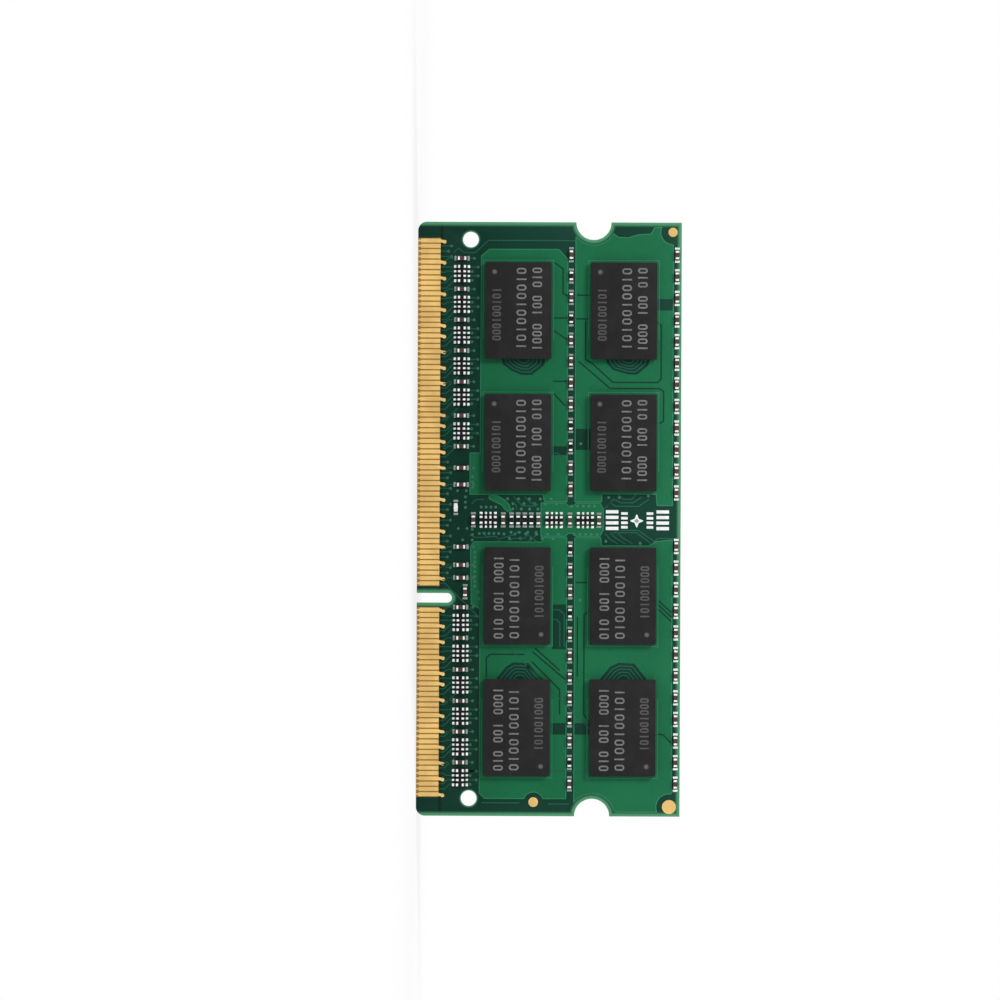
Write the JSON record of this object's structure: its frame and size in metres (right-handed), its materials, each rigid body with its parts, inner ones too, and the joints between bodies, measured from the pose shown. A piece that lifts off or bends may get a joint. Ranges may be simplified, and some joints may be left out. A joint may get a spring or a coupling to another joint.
{
  "type": "small-outline ram module",
  "caption": "Small-outline laptop memory module: green board with gold edge contacts on both faces, memory packages, resistor arrays and capacitors.",
  "frame": {"origin": "middle of the contact edge, the flat end face of the board that goes down into the socket", "axes": "+X along the board with the key notch on its positive side, +Z from the contact edge to the top edge, -Y out of the front face; the module stands as it does in an upright socket"},
  "size_m": [0.0676, 0.0032, 0.03],
  "materials": {
    "board_mask": "green solder mask over copper on glass-epoxy laminate, satin",
    "contact_gold": "hard gold plating, satin",
    "package_black": "black moulded epoxy, fine matte grain",
    "resistor_black": "black glass coat over alumina",
    "capacitor_ceramic": "fired brown ceramic with tinned ends",
    "solder": "reflowed tin solder"
  },
  "bodies": {
    "root": {"circuit_board": "board_mask", "contacts_front_long": "contact_gold", "contacts_front_short": "contact_gold", "memory_front_1": "package_black", "memory_front_2": "package_black", "memory_front_3": "package_black", "memory_front_4": "package_black", "memory_front_5": "package_black", "memory_front_6": "package_black", "memory_front_7": "package_black", "memory_front_8": "package_black", "resistor_array_front_1": "resistor_black", "resistor_array_front_2": "resistor_black", "resistor_array_front_3": "resistor_black", "resistor_array_front_4": "resistor_black", "resistor_array_front_5": "resistor_black", "resistor_array_front_6": "resistor_black", "resistor_array_front_7": "resistor_black", "resistor_array_front_8": "resistor_black", "resistor_array_front_9": "resistor_black", "resistor_array_front_10": "resistor_black", "resistor_array_front_11": "resistor_black", "resistor_array_front_12": "resistor_black", "resistor_array_front_13": "resistor_black", "resistor_array_front_14": "resistor_black", "resistor_array_front_15": "resistor_black", "capacitors_front_middle_left": "capacitor_ceramic", "capacitors_front_top_left": "capacitor_ceramic", "capacitors_front_middle_right": "capacitor_ceramic", "capacitors_front_top_right": "capacitor_ceramic", "contacts_back_long": "contact_gold", "contacts_back_short": "contact_gold", "memory_back_1": "package_black", "memory_back_2": "package_black", "memory_back_3": "package_black", "memory_back_4": "package_black", "memory_back_5": "package_black", "memory_back_6": "package_black", "memory_back_7": "package_black", "memory_back_8": "package_black", "resistor_array_back_1": "resistor_black", "resistor_array_back_2": "resistor_black", "resistor_array_back_3": "resistor_black", "resistor_array_back_4": "resistor_black", "resistor_array_back_5": "resistor_black", "resistor_array_back_6": "resistor_black", "resistor_array_back_7": "resistor_black", "resistor_array_back_8": "resistor_black", "resistor_array_back_9": "resistor_black", "resistor_array_back_10": "resistor_black", "resistor_array_back_11": "resistor_black", "resistor_array_back_12": "resistor_black", "resistor_array_back_13": "resistor_black", "resistor_array_back_14": "resistor_black", "resistor_array_back_15": "resistor_black", "capacitors_back_middle_left": "capacitor_ceramic", "capacitors_back_top_left": "capacitor_ceramic", "capacitors_back_middle_right": "capacitor_ceramic", "capacitors_back_top_right": "capacitor_ceramic", "configuration_memory": "package_black"}
  },
  "joints": []
}
